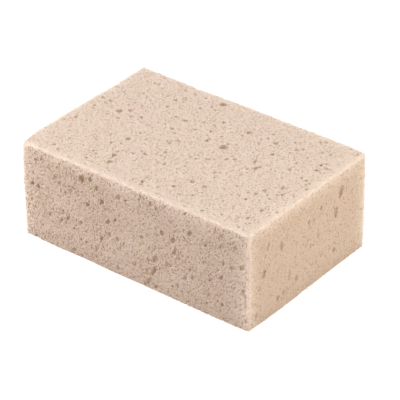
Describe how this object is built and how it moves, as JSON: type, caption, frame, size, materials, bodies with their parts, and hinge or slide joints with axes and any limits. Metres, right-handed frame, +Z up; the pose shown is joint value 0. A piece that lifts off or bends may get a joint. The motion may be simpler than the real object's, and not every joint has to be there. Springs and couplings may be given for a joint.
{
  "type": "grout sponge",
  "caption": "Rectangular block of coarse open-cell foam with softened edges, for washing and smoothing the grout between tiles.",
  "frame": {"origin": "middle of the underside, the face that is laid on the tiles", "axes": "+X along the length, +Y across the width, +Z up through the thickness"},
  "size_m": [0.18, 0.12, 0.07],
  "materials": {
    "foam": "matt open-cell foam"
  },
  "bodies": {
    "root": {"foam_block": "foam"}
  },
  "joints": []
}
